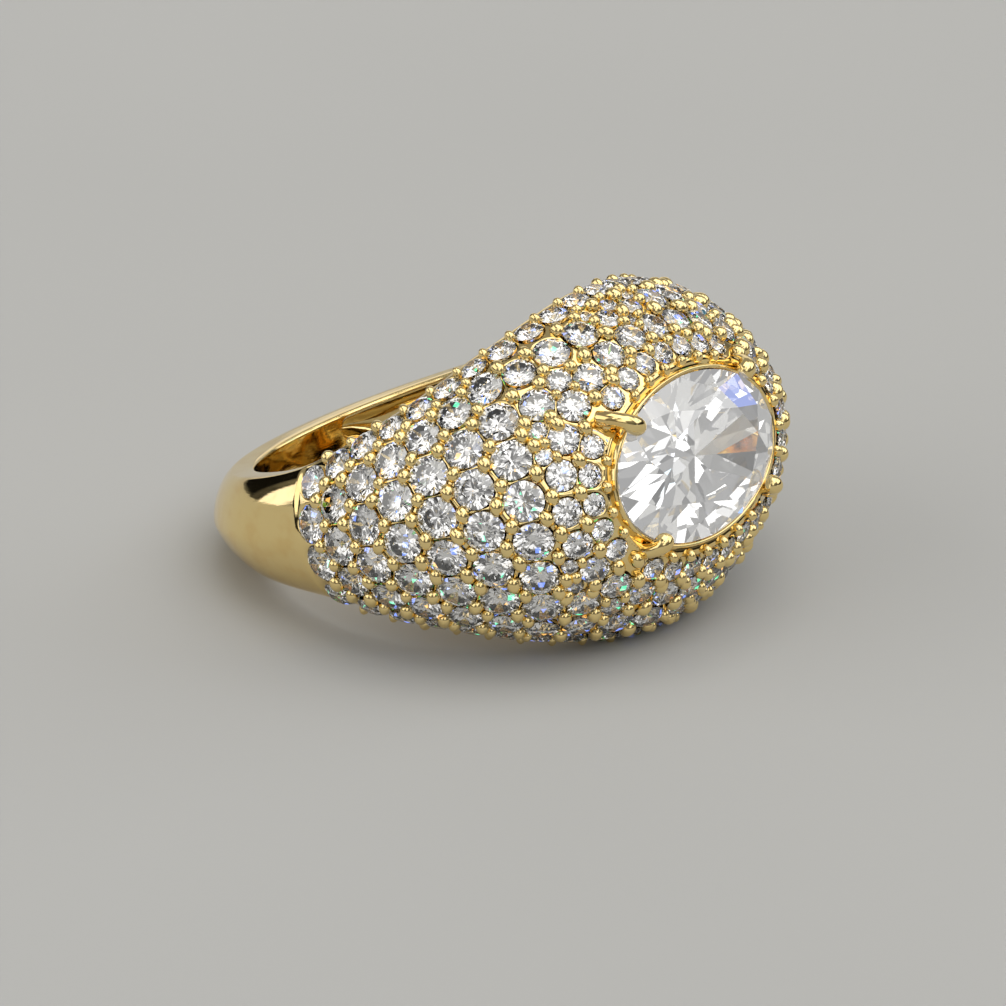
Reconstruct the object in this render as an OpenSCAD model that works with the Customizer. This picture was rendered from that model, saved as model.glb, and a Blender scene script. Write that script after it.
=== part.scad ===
// Dome ring: a domed, hollow gold band that tapers to a half-round shank,
// paved with small cut stones round one large oval stone held by four claws.
// It lies on its side, dome towards the front, the way it rests on a table.
// The ring's own axes are x to the dome's crest, y along the circle, z along the finger.

/* [Finger] */
// Inner radius of the ring
finger_r = 8.65; // [8:0.05:9.5]
// Lean of the finger axis while the ring lies on its side, in degrees
lean = 17.15; // [16.6:0.05:17.8]

/* [Band] */
// Cross sections: degrees from the crest, half width, thickness, edge thickness, roundness power
sections = [
    [0, 7.50, 6.15, 0.30, 1.75],
    [30, 6.60, 5.95, 0.37, 1.74],
    [60, 4.75, 4.20, 0.53, 1.68],
    [90, 3.00, 2.30, 0.72, 1.60],
    [120, 2.25, 2.25, 0.90, 1.52],
    [150, 1.80, 2.25, 1.04, 1.46],
    [180, 1.65, 1.95, 1.09, 1.44]
];

/* [Hollow] */
// Metal left between the hollow and the outer skin
shell = 1.15; // [1.1:0.05:1.3]
// Width of the plain lip beside the hollow
lip = 0.30; // [0.25:0.05:0.5]
// Where the hollow ends on the visible far side, in degrees from the crest
hollow_end_far = 165; // [140:1:166]
// Where the hollow ends on the other side, in degrees from the crest
hollow_end_near = 120; // [110:1:125]

/* [Centre stone] */
// Length of the oval stone, along the band
oval_length = 10.6; // [10:0.1:10.8]
// Width of the oval stone, along the finger
oval_width = 7.0; // [6.6:0.1:7.2]
// Distance from the finger axis to the stone's girdle
girdle_x = 13.65; // [13.5:0.05:13.8]
// Height of the crown above the girdle
crown_height = 1.05; // [0.9:0.05:1.2]
// Depth of the pavilion below the girdle
pavilion_depth = 2.95; // [2.8:0.05:3.1]
// Thickness of the wall that the stone sits in
wall = 0.32; // [0.25:0.01:0.35]
// Radius of a claw
claw_r = 0.30; // [0.25:0.01:0.32]

/* [Pave stones] */
// Widest pave stone
stone_max = 1.55; // [1.4:0.05:1.6]
// Narrowest pave stone that is still set
stone_min = 0.85; // [0.8:0.05:0.95]
// Metal left between neighbouring stones
web = 0.26; // [0.22:0.01:0.32]
// Spacing of the stones across the band
pitch = 1.85; // [1.8:0.05:1.95]
// Angle from the crest to the last column of stones, in degrees
pave_end = 84.5; // [84:0.5:85]
// Angle from the crest to the first full column beside the oval, in degrees
full_end = 37.5; // [37:0.5:38.5]
// Angle from the crest to the last short column above and below the oval, in degrees
short_end = 29.5; // [29:0.5:30]
// Stones, and claws in their places, in the ring next to the oval
halo_count = 28; // [28:1:28]
// Stones in the second ring round the oval
second_count = 26; // [25:1:27]

/* [Hidden] */

// Columns of the section table
HALF_WIDTH = 1;
THICKNESS = 2;
EDGE = 3;
POWER = 4;
section_step = 30;

// Fineness of the skin: degrees between stations, steps from edge to edge
station_step = 8;
across_steps = 12;

// Clearance between a stone and the metal, and depth of a girdle below the skin
gap = 0.05;
sink = 0.04;

// Stone proportions as shares of the diameter
table_share = 0.56;
crown_share = 0.15;
pavilion_share = 0.43;
stone_sides = 8;

// Offsets from the oval's outline to the rings of stones and to the groove round the wall
halo_offset = 1.2;
second_offset = 2.2;
groove_offset = 0.66;
groove_x = 12.95;
collar_x = 12.1;
wall_top = 0.10;
halo_share = 0.77;
second_d = 1.27;

// Places in the ring next to the oval that claws take
claw_slots = [3, 11, 17, 25];
claw_base = [-0.2, 1.25];
claw_tip = [0.42, 0.06];

// Columns of stones: full ones on each shoulder, short ones above and below the oval
full_columns = 7;
full_step = (pave_end - full_end) / (full_columns - 1);
short_columns = 8;
short_step = 2 * short_end / (short_columns - 1);
rim_margin = 0.12;

// Section values at any angle, through the rows of the table
function row_at(k) = sections[abs(k) > 6 ? 12 - abs(k) : abs(k)];
function smooth_between(p, f) =
    p[1] + f / 2 * (p[2] - p[0] + f * (2 * p[0] - 5 * p[1] + 4 * p[2] - p[3]
    + f * (3 * p[1] - p[0] - 3 * p[2] + p[3])));
function turn(a) = a > 180 ? a - 360 : a < -180 ? a + 360 : a;
function section_value(a, column) =
    let (u = abs(turn(a)) / section_step, i = min(floor(u), 5))
    smooth_between([for (k = [-1:2]) row_at(i + k)[column]], u - i);
function half_width(a) = section_value(a, HALF_WIDTH);
function edge_r(a) = finger_r + section_value(a, EDGE);
function crest_r(a) = finger_r + section_value(a, THICKNESS);

// Outer skin: a is the angle from the crest, t goes from -90 at one edge to 90 at the other
function arch(t, power) = pow(max(0, 1 - pow(abs(sin(t)), power)), 1 / power);
function skin_r(a, t) = edge_r(a) + (crest_r(a) - edge_r(a)) * arch(t, section_value(a, POWER));
function skin(a, t) =
    let (r = skin_r(a, t))
    [r * cos(a), r * sin(a), half_width(a) * sin(t)];
function unit(v) = v / norm(v);
function along_skin(a, t) = unit(skin(a + 0.5, t) - skin(a - 0.5, t));
function skin_normal(a, t) =
    let (up = skin(a, min(t + 0.5, 89.9)) - skin(a, t - 0.5))
    unit(cross(along_skin(a, t), up));

// A stone's place on the skin: point, direction along the band, normal and diameter
function stone_at(a, t, d) = [skin(a, t), along_skin(a, t), skin_normal(a, t), d];

// Angle t of the skin at a given run of metal from the middle of a section
across_fine = 3;
function across_run(a) = [
    for (t = 0, s = 0; t <= 90; s = s + norm(skin(a, t + across_fine) - skin(a, t)), t = t + across_fine)
        [s, t]
];
function half_run(a) = lookup(90, [for (row = across_run(a)) [row[1], row[0]]]);

// Skin point over a place (y, z) near the crest
function crest_angle(y, z, a, tries) =
    tries == 0 ? a : crest_angle(y, z, asin(y / skin_r(a, asin(z / half_width(a)))), tries - 1);
function stone_over(y, z, d) =
    let (a = crest_angle(y, z, y * 4, 8))
    stone_at(a, asin(z / half_width(a)), d);

// Equal steps along an ellipse
ellipse_fine = 3;
function ellipse_point(a, b, t) = [a * cos(t), b * sin(t)];
function ellipse_run(a, b) = [
    for (t = 0, s = 0; t <= 360; s = s + norm(ellipse_point(a, b, t + ellipse_fine) - ellipse_point(a, b, t)),
        t = t + ellipse_fine)
        [s, t]
];
function ellipse_length(a, b) = let (run = ellipse_run(a, b)) run[len(run) - 1][0];
function ellipse_places(a, b, count) =
    let (run = ellipse_run(a, b), step = ellipse_length(a, b) / count)
    [for (i = [0:count - 1]) ellipse_point(a, b, lookup(i * step, run))];

// The oval's half axes and the two rings of stones round it
oval_a = oval_length / 2;
oval_b = oval_width / 2;
halo_places = ellipse_places(oval_a + halo_offset, oval_b + halo_offset, halo_count);
halo_step = ellipse_length(oval_a + halo_offset, oval_b + halo_offset) / halo_count;
second_places = ellipse_places(oval_a + second_offset, oval_b + second_offset, second_count);
function is_claw(i) = len(search(i, claw_slots)) > 0;
halo = [
    for (i = [0:halo_count - 1])
        if (!is_claw(i)) stone_over(halo_places[i][0], halo_places[i][1], halo_share * halo_step)
];
second_ring = [for (p = second_places) stone_over(p[0], p[1], second_d)];

// Room for a stone at a point of the skin: to the next column, to the second ring, to the widest
function room_from(p) = min([for (s = second_ring) norm(p - s[0]) - s[3] / 2]) - web;
function column_gap(a, t, step) = norm(skin(a + step, t) - skin(a, t));
function full_room(a, t) =
    min(stone_max, min(pitch, norm([column_gap(a, t, full_step), pitch / 2])) - web, 2 * room_from(skin(a, t)));
function short_room(a, t) =
    min(stone_max, column_gap(a, t, short_step) - web, pitch - web, 2 * room_from(skin(a, t)));

// A full column: stones at even steps from the middle, every other column moved by half a step,
// and one more stone to fill what is left beside the rim
function full_column(a, shifted) =
    let (
        run = across_run(a),
        reach = half_run(a) - rim_margin,
        start = shifted ? pitch / 2 : 0,
        even = [
            for (s = [start:pitch:reach])
                let (t = lookup(s, run), d = full_room(a, t))
                if (s + d / 2 <= reach) [s, t, d]
        ],
        last = even[len(even) - 1],
        from = last[0] + last[2] / 2 + web,
        left = reach - from,
        middle_t = lookup(from + left / 2, run),
        fill = min(left, stone_max, column_gap(a, middle_t, full_step) - web),
        both = concat(even, left >= stone_min ? [[from + left / 2, middle_t, fill]] : [])
    )
    [
        for (side = [-1, 1], s = both)
            if (s[2] >= stone_min && !(side < 0 && s[0] == 0)) stone_at(a, side * s[1], s[2])
    ];

// A short column: stones from the rim inwards as far as the second ring
short_rows = 3;
function short_stones(a) =
    let (run = across_run(a), reach = half_run(a) - rim_margin, rim_d = short_room(a, lookup(reach - 0.6, run)))
    [
        for (side = [-1, 1], i = [0:short_rows - 1])
            let (s = reach - rim_d / 2 - i * pitch, t = lookup(s, run), d = short_room(a, t), p = skin(a, t))
            if (d >= stone_min && norm([p[1] / (oval_a + second_offset), p[2] / (oval_b + second_offset)]) > 1)
                stone_at(a, side * t, d)
    ];

pave = concat(
    second_ring,
    [for (side = [-1, 1], k = [0:full_columns - 1]) each full_column(side * (pave_end - k * full_step), k % 2 == 0)],
    [for (k = [0:short_columns - 1]) each short_stones(-short_end + k * short_step)]
);

// The height at which the ring rests: the lowest point of the shank's back edge
function rest_height(p) = p[0] * sin(lean) + p[2] * cos(lean);
floor_height = min([for (a = [150:2:210], t = [-90:2:-70]) rest_height(skin(a, t))]);

// The middle of the ring from front to back, as it lies
function forward(p) = p[0] * cos(lean) - p[2] * sin(lean);
reaches = [for (a = [0:5:180], t = [-90:10:90]) forward(skin(a, t))];
middle = (max(reaches) + min(reaches)) / 2;

module as_it_rests() {
    translate([0, middle, -floor_height])
        rotate([-lean, 0, 0])
            rotate([0, 0, -90])
                children();
}

// A closed ring of sections, each one a list of points, made into one solid
module swept_loop(rings) {
    n = len(rings[0]);
    m = len(rings);
    polyhedron(
        points = [for (ring = rings) each ring],
        faces = [
            for (i = [0:m - 1], j = [0:n - 1])
                let (a = i * n + j, b = i * n + (j + 1) % n, c = ((i + 1) % m) * n + (j + 1) % n, d = ((i + 1) % m) * n + j)
                each [[a, b, c], [a, c, d]]
        ]
    );
}

// An open row of sections with a flat end at each end
module swept_run(rings) {
    n = len(rings[0]);
    m = len(rings);
    polyhedron(
        points = [for (ring = rings) each ring],
        faces = concat(
            [[for (j = [0:n - 1]) n - 1 - j]],
            [for (i = [0:m - 2], j = [0:n - 1])
                let (a = i * n + j, b = i * n + (j + 1) % n, c = a + n, d = b + n)
                each [[a, b, d], [a, d, c]]],
            [[for (j = [0:n - 1]) (m - 1) * n + j]]
        )
    );
}

// Solid of the band and dome, a little past the finger hole on the inside
module band_solid() {
    inside = finger_r - 0.4;
    swept_loop([
        for (a = [-180:station_step:180 - station_step])
            concat(
                [[inside * cos(a), inside * sin(a), half_width(a)]],
                [[inside * cos(a), inside * sin(a), -half_width(a)]],
                [for (i = [0:across_steps]) skin(a, -90 + 180 * i / across_steps)]
            )
    ]);
}

// Hollow under the dome and along the inside of the shank
hollow_step = 8;
hollow_round = 3;
hollow_blend = 26;
hollow_tip = 0.45;
hollow_sides = 8;
function ease(x) = let (c = min(1, max(0, x))) c * c * (3 - 2 * c);
function rounded_end(x) = let (c = min(1, max(0.02, x))) sqrt(1 - pow(1 - c, 2));
function hollow_half(a) =
    let (far = ease((hollow_end_far - a) / hollow_blend), full = half_width(a) - lip - 0.85 * ease((115 - abs(a)) / 60))
    (hollow_tip + (full - hollow_tip) * far)
    * rounded_end((hollow_end_far - a) / hollow_round) * rounded_end((a + hollow_end_near) / (3 * hollow_round));
function hollow_middle(a) =
    (half_width(a) - lip - hollow_tip) * (1 - ease((hollow_end_far - a) / hollow_blend));
function hollow_section(a) =
    let (
        bottom = finger_r - 1,
        top = crest_r(a) - shell,
        w = hollow_half(a),
        z = hollow_middle(a),
        rise = rounded_end((hollow_end_far - a) / hollow_round)
            * rounded_end((a + hollow_end_near) / (3 * hollow_round)),
        low = edge_r(a) - section_value(a, EDGE) + 0.1
    )
    concat(
        [[bottom * cos(a), bottom * sin(a), z + w], [bottom * cos(a), bottom * sin(a), z - w]],
        [for (i = [0:hollow_sides])
            let (t = -90 + 180 * i / hollow_sides, r = low + (top - low) * rise * arch(t, section_value(a, POWER)))
            [r * cos(a), r * sin(a), z + w * sin(t)]]
    );
module hollow() {
    first = -hollow_end_near;
    inner = [for (a = [first + hollow_step:hollow_step:hollow_end_far - hollow_step / 2]) a];
    ends = [0.1, 1, 3];
    angles = concat(
        [for (e = ends) first + e],
        inner,
        [for (i = [0:2]) hollow_end_far - ends[2 - i] * 0.6]
    );
    swept_run([for (a = angles) hollow_section(a)]);
}

// A solid of oval sections, each a height and a share of the oval's size
module oval_solid(levels, offset_by, sides = 32) {
    swept_run([
        for (level = levels)
            [for (i = [0:sides - 1])
                let (p = ellipse_point(oval_a + offset_by, oval_b + offset_by, i * 360 / sides))
                [level[0], p[0] * level[1], p[1] * level[1]]]
    ]);
}

// Room for the oval stone: its own form, a gap wider, open above
module oval_room() {
    oval_solid([[girdle_x + 3, 1], [girdle_x - gap, 1], [girdle_x - pavilion_depth, 0.02]], gap);
}

// A claw from the skin over the edge of the oval
module claw(place) {
    out = unit(place);
    edge = place - halo_offset * out;
    foot = concat(girdle_x + claw_base[0], edge + claw_base[1] * out);
    tip = concat(girdle_x + claw_tip[0], edge + claw_tip[1] * out);
    reach = tip - foot;
    translate(foot)
        rotate([0, acos(reach[2] / norm(reach)), atan2(reach[1], reach[0])])
            cylinder(h = norm(reach), r = claw_r, $fn = 10);
    translate(tip)
        sphere(r = claw_r * 1.12, $fn = 10);
    translate(foot)
        sphere(r = claw_r, $fn = 8);
}

// A place measured in a stone's own directions
function in_stone(s, p) = s[0] + s[1] * p[0] + cross(s[2], s[1]) * p[1] + s[2] * p[2];
function polygon_at(s, r, height, shift) = [
    for (i = [0:stone_sides - 1])
        let (q = (i + shift) * 360 / stone_sides)
        in_stone(s, [r * cos(q), r * sin(q), height])
];

// Seat for one small stone: a cone cut down from above the skin
module seat(s) {
    slope = 0.5 / pavilion_share;
    girdle_r = s[3] / 2 + gap;
    above = 0.3;
    top = polygon_at(s, girdle_r + (above + sink) * slope, above, 0.5);
    n = stone_sides;
    polyhedron(
        points = concat(top, [in_stone(s, [0, 0, -sink - girdle_r / slope])]),
        faces = concat(
            [[for (i = [0:n - 1]) n - 1 - i]],
            [for (i = [0:n - 1]) [i, (i + 1) % n, n]]
        )
    );
}

// Points and faces of one small cut stone: table, crown, girdle edge and pavilion
function stone_points(s) = concat(
    polygon_at(s, s[3] / 2 * table_share, s[3] * crown_share - sink, 0),
    polygon_at(s, s[3] / 2, -sink, 0.5),
    [in_stone(s, [0, 0, -sink - s[3] * pavilion_share])]
);
function stone_faces(first) =
    let (n = stone_sides)
    concat(
        [[for (i = [0:n - 1]) first + n - 1 - i]],
        [for (i = [0:n - 1])
            let (j = (i + 1) % n)
            each [
                [first + i, first + j, first + n + i],
                [first + j, first + n + j, first + n + i],
                [first + n + i, first + n + j, first + 2 * n]
            ]]
    );
module stones(list) {
    each_points = 2 * stone_sides + 1;
    polyhedron(
        points = [for (s = list) each stone_points(s)],
        faces = [for (k = [0:len(list) - 1]) each stone_faces(k * each_points)]
    );
}

// The one cast piece: band, dome, wall and claws, before the finger hole is bored
module casting() {
    difference() {
        union() {
            difference() {
                band_solid();
                oval_solid([[girdle_x + 4, 1], [groove_x, 1]], groove_offset);
                hollow();
                for (s = pave) seat(s);
                for (s = halo) seat(s);
            }
            oval_solid([[girdle_x + wall_top, 1], [collar_x, 1]], gap + wall);
            for (i = claw_slots) claw(halo_places[i]);
        }
        oval_room();
        rotate([0, lean, 0])
            translate([0, 0, floor_height - 5])
                cube([60, 60, 10], center = true);
    }
}

module ring_body() {
    color("gold")
        as_it_rests()
            difference() {
                resize([0, 0, 0]) casting();
                cylinder(h = 40, r = finger_r, center = true, $fn = 96);
            }
}

// The oval stone: table, stars, kites and girdle facets above, mains and halves below
module centre_stone() {
    n = 8;
    table = [for (i = [0:n - 1]) concat(girdle_x + crown_height, 0.58 * ellipse_point(oval_a, oval_b, i * 45))];
    kite = [
        for (i = [0:n - 1])
            concat(girdle_x + 0.5 * crown_height, 0.82 * ellipse_point(oval_a, oval_b, (i + 0.5) * 45))
    ];
    upper = [for (i = [0:2 * n - 1]) concat(girdle_x + gap, ellipse_point(oval_a, oval_b, i * 22.5))];
    lower = [for (i = [0:2 * n - 1]) concat(girdle_x - gap, ellipse_point(oval_a, oval_b, i * 22.5))];
    half = [
        for (i = [0:n - 1])
            concat(girdle_x - 0.72 * pavilion_depth, 0.26 * ellipse_point(oval_a, oval_b, (i + 0.5) * 45))
    ];
    culet = [[girdle_x - pavilion_depth + 2 * gap, 0, 0]];
    T = 0;
    K = n;
    U = 2 * n;
    L = 4 * n;
    H = 6 * n;
    C = 7 * n;
    color("white")
        as_it_rests()
            polyhedron(
                points = concat(table, kite, upper, lower, half, culet),
                faces = concat(
                    [[for (i = [0:n - 1]) T + n - 1 - i]],
                    [for (i = [0:n - 1])
                        let (j = (i + 1) % n, e = 2 * i, f = 2 * i + 1, g = (2 * i + 2) % (2 * n))
                        each [
                            [T + i, T + j, K + i],
                            [T + j, U + g, K + i],
                            [U + e, T + i, K + i],
                            [U + f, U + e, K + i],
                            [U + g, U + f, K + i],
                            [U + e, U + f, L + f],
                            [U + e, L + f, L + e],
                            [U + f, U + g, L + g],
                            [U + f, L + g, L + f],
                            [L + e, L + f, H + i],
                            [L + f, L + g, H + i],
                            [L + g, C, H + i],
                            [C, L + e, H + i]
                        ]]
                )
            );
}

module halo_stones() {
    color("white") as_it_rests() stones(halo);
}

module pave_stones() {
    color("white") as_it_rests() stones(pave);
}

ring_body();
centre_stone();
halo_stones();
pave_stones();
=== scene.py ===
"""Looks of a domed gold finger ring paved with small cut stones round one large oval stone."""

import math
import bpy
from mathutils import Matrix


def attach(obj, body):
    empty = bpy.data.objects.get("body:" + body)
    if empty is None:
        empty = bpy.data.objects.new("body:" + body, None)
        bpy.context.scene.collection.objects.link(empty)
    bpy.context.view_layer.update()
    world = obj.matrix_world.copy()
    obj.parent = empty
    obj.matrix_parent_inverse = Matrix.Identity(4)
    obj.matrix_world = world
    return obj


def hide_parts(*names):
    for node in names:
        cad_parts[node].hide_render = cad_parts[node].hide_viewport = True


bl_info = {
    "name": "Dome ring",
    "version": (1, 0, 0),
    "blender": (4, 5, 0),
    "location": "3D View > Sidebar > Dome Ring",
    "description": "Builds the metal, the stones and the stage of a dome ring round its packed frame",
    "category": "Object",
}

import bpy
import numpy as np
from bpy.props import FloatProperty, FloatVectorProperty, IntProperty, PointerProperty
from mathutils import Vector
from mathutils.geometry import delaunay_2d_cdt
from numpy.linalg import norm

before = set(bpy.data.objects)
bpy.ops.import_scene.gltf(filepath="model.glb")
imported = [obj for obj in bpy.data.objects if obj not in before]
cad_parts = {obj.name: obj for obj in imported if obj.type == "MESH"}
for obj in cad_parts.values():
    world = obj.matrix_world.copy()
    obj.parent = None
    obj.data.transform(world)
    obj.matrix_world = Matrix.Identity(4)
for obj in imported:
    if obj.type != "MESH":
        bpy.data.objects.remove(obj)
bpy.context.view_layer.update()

MM = 0.001

# The ring's own sizes, in millimetres and degrees, as the solid model has them.
# Ring axes: x to the dome's crest, y along the circle, z along the finger.
FINGER_R = 8.65
LEAN = math.radians(17.15)
SECTION_STEP = 30
SECTIONS = np.array(
    [  # half width, thickness, edge thickness, roundness power
        [7.50, 6.15, 0.30, 1.75],
        [6.60, 5.95, 0.37, 1.74],
        [4.75, 4.20, 0.53, 1.68],
        [3.00, 2.30, 0.72, 1.60],
        [2.25, 2.25, 0.90, 1.52],
        [1.80, 2.25, 1.04, 1.46],
        [1.65, 1.95, 1.09, 1.44],
    ]
)
# Metal over the hollow, the lip beside it, and what the lip gains under the dome
SHELL, LIP, LIP_MORE = 1.15, 0.30, 0.85
# The hollow's far and near end, and how it narrows and rounds off there
HOLLOW_FAR, HOLLOW_NEAR, HOLLOW_BLEND, HOLLOW_ROUND, HOLLOW_TIP = 165, 120, 26, 3, 0.45
# Oval: half length, half width, height of the girdle, depth above and below it
OVAL_A, OVAL_B, GIRDLE_X, CROWN, PAVILION = 5.3, 3.5, 13.65, 1.05, 2.95
# Gap round the oval, and how far a small stone sits below the skin
GAP, SINK = 0.05, 0.04
# Widest and narrowest small stone, the metal between two, and the step of a column
STONE_MAX, STONE_MIN, WEB, PITCH = 1.55, 0.85, 0.26, 1.85
# Columns that run from rim to rim, and short ones above and below the oval
PAVE_END, FULL_END, SHORT_END, FULL_COLUMNS, SHORT_COLUMNS, SHORT_ROWS = 84.5, 37.5, 29.5, 7, 8, 3
FULL_STEP = (PAVE_END - FULL_END) / (FULL_COLUMNS - 1)
SHORT_STEP = 2 * SHORT_END / (SHORT_COLUMNS - 1)
RIM_MARGIN = 0.12
# The two rings of stones round the oval: how many, how far out, and how wide
HALO_COUNT, HALO_OFFSET, HALO_SHARE = 28, 1.2, 0.77
SECOND_COUNT, SECOND_OFFSET, SECOND_D = 26, 2.2, 1.27
# Places in the first ring that the claws take, and how far out each is rooted
CLAW_SLOTS = (3, 11, 17, 25)
CLAW_ROOTS = (0.65, 1.40, 0.60, 0.62)

# Finer sizes that only the looks have, in millimetres.
# How much wider the small stones show, and the least metal between them and at the rim
STONE_GROWTH, THIN_METAL, RIM_EDGE = 1.13, 0.07, 0.05
# Radius for unrolling the field, and how near the rim its outer row and beads lie
UNROLL_R, RIM_ROW, RIM_BEAD = 12.6, 1.3, 0.3
# Stones farther apart are no neighbours, and narrower metal takes no bead
NEIGHBOURS, LEAST_ROOM, RIM_ROOM = 2.9, 0.06, 0.2
# Extra stones: passes, metal round one, least and largest radius, clear of the oval
FILLER_PASSES, FILLER_GAP, FILLER_LEAST, FILLER_MOST, FILLER_CLEAR = 2, 0.06, 0.33, 0.70, 1.2
# Beads: least distance between two, from the oval and from a claw
BEAD_APART, BEAD_CLEAR, CLAW_CLEAR = 0.34, 0.72, 0.6
# Beads inside the first ring: how far out, how far sunk, room for each
INNER_BEADS, INNER_SINK, INNER_ROOM = 0.60, 0.05, 0.14
# The wall round the oval: its foot, thickness and height over the girdle
COLLAR_X, COLLAR_WALL, COLLAR_TOP = 12.1, 0.17, 0.02
# The metal from the skin down to that wall: how far out from the oval, and below the skin
SKIN_OPENING = 0.60
GALLERY = (
    (0.76, 0.26), (0.70, 0.11), (0.62, 0.09), (0.50, 0.12),
    (0.40, 0.17), (0.30, 0.24), (0.22, 0.30), (0.12, 0.34),
)
# Roundness of the rims and of the hollow's lip, its arch's power, and where the arch starts
EDGE_ROUND, LIP_ROUND, HOLLOW_POWER, HOLLOW_SIDE = 0.16, 0.13, 1.7, 0.12


# The skin of the band


def section_values(a):
    """Half width, thickness, edge thickness and power at angles a from the crest."""
    last = len(SECTIONS) - 1
    u = np.abs((np.asarray(a, float) + 180) % 360 - 180) / SECTION_STEP
    i = np.minimum(np.floor(u).astype(int), last - 1)
    f = (u - i)[..., None]
    # Past the crest and the back the sections repeat in reverse
    around = [np.abs(i + k) for k in (-1, 0, 1, 2)]
    p0, p1, p2, p3 = (SECTIONS[np.where(n > last, 2 * last - n, n)] for n in around)
    return p1 + f / 2 * (p2 - p0 + f * (2 * p0 - 5 * p1 + 4 * p2 - p3 + f * (3 * p1 - p0 - 3 * p2 + p3)))


def skin(a, t):
    """Point of the outer skin: a is the angle from the crest, t runs from -90 to 90 between the edges."""
    half, thick, edge, power = np.moveaxis(section_values(a), -1, 0)
    s = np.sin(np.radians(t))
    arch = np.maximum(0, 1 - np.abs(s) ** power) ** (1 / power)
    r = FINGER_R + edge + (thick - edge) * arch
    a = np.radians(a)
    return np.stack(np.broadcast_arrays(r * np.cos(a), r * np.sin(a), half * s), -1)


def unit(v):
    return v / norm(v, axis=-1, keepdims=True)


def stone_at(a, t, d):
    """A stone's place on the skin: point, direction along the band, normal and diameter."""
    along = unit(skin(a + 0.5, t) - skin(a - 0.5, t))
    up = skin(a, min(t + 0.5, 89.9)) - skin(a, t - 0.5)
    return skin(a, t), along, unit(np.cross(along, up)), d


def across_run(a):
    """Run of metal from the middle of a section to each angle t, and those angles."""
    t = np.arange(0, 91, 3.0)
    steps = norm(np.diff(skin(np.full(len(t), a), t), axis=0), axis=1)
    return np.concatenate([[0], np.cumsum(steps)]), t


def angle_over(y, z):
    """Angles a and t of the skin over a place (y, z) near the crest."""
    a = np.asarray(y, float) * 4
    for _ in range(8):
        t = np.degrees(np.arcsin(np.clip(z / section_values(a)[..., 0], -1, 1)))
        r = norm(skin(a, t)[..., :2], axis=-1)
        a = np.degrees(np.arcsin(y / r))
    return a, np.degrees(np.arcsin(np.clip(z / section_values(a)[..., 0], -1, 1)))


def stone_over(y, z, d):
    """A stone's place on the skin over (y, z) near the crest."""
    a, t = angle_over(y, z)
    return stone_at(float(a), float(t), d)


def ellipse_places(offset, count):
    """Points at equal steps along the oval's outline, moved out by offset, and the step."""
    a, b = OVAL_A + offset, OVAL_B + offset
    t = np.arange(0, 361, 3.0)
    p = np.stack([a * np.cos(np.radians(t)), b * np.sin(np.radians(t))], 1)
    run = np.concatenate([[0], np.cumsum(norm(np.diff(p, axis=0), axis=1))])
    at = np.radians(np.interp(np.arange(count) * run[-1] / count, run, t))
    return np.stack([a * np.cos(at), b * np.sin(at)], 1), run[-1] / count


def oval_share(points, offset):
    """Under 1 inside the oval's outline moved out by offset, on the crest's side."""
    share = np.hypot(points[..., 1] / (OVAL_A + offset), points[..., 2] / (OVAL_B + offset))
    return np.where(points[..., 0] > FINGER_R + 1, share, 9)


# Where the small stones sit


def halo_layout():
    """The first ring of stones round the oval, with the claws' places left out."""
    places, step = ellipse_places(HALO_OFFSET, HALO_COUNT)
    found = []
    for i, (y, z) in enumerate(places):
        if i not in CLAW_SLOTS:
            found.append(stone_over(y, z, HALO_SHARE * step))
    return found


def second_layout():
    """The second ring of stones round the oval."""
    places, _ = ellipse_places(SECOND_OFFSET, SECOND_COUNT)
    return [stone_over(y, z, SECOND_D) for y, z in places]


def full_column(a, shifted, room):
    """Stones at even steps from the middle of a section, and one more beside each rim."""
    run, angles = across_run(a)
    reach = run[-1] - RIM_MARGIN
    side_gap = lambda t: float(norm(skin(a + FULL_STEP, t) - skin(a, t)))
    row = []
    s = PITCH / 2 if shifted else 0.0
    while s <= reach:
        t = float(np.interp(s, run, angles))
        d = min(STONE_MAX, min(PITCH, math.hypot(side_gap(t), PITCH / 2)) - WEB, 2 * room(skin(a, t)))
        if s + d / 2 <= reach:
            row.append((s, t, d))
        s += PITCH
    start = row[-1][0] + row[-1][2] / 2 + WEB
    left = reach - start
    if left >= STONE_MIN:
        t = float(np.interp(start + left / 2, run, angles))
        row.append((start + left / 2, t, min(left, STONE_MAX, side_gap(t) - WEB)))
    return [
        stone_at(a, side * t, d)
        for side in (-1, 1)
        for s, t, d in row
        if d >= STONE_MIN and not (side < 0 and s == 0)
    ]


def short_column(a, room):
    """Stones from the rim inwards, above and below the oval."""
    run, angles = across_run(a)
    reach = run[-1] - RIM_MARGIN

    def room_at(t):
        gap = float(norm(skin(a + SHORT_STEP, t) - skin(a, t)))
        return min(STONE_MAX, gap - WEB, PITCH - WEB, 2 * room(skin(a, t)))

    rim_d = room_at(float(np.interp(reach - 0.6, run, angles)))
    found = []
    for side in (-1, 1):
        for i in range(SHORT_ROWS):
            t = float(np.interp(reach - rim_d / 2 - i * PITCH, run, angles))
            d, p = room_at(t), skin(a, t)
            if d >= STONE_MIN and oval_share(p, SECOND_OFFSET) > 1:
                found.append(stone_at(a, side * t, d))
    return found


def pave_layout():
    """The field of stones: the second ring, the columns from rim to rim and the short ones."""
    second = second_layout()
    room = lambda p: min(float(norm(p - s[0])) - s[3] / 2 for s in second) - WEB
    found = list(second)
    for side in (-1, 1):
        for k in range(FULL_COLUMNS):
            found += full_column(side * (PAVE_END - k * FULL_STEP), k % 2 == 0, room)
    for k in range(SHORT_COLUMNS):
        found += short_column(-SHORT_END + k * SHORT_STEP, room)
    return found


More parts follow.
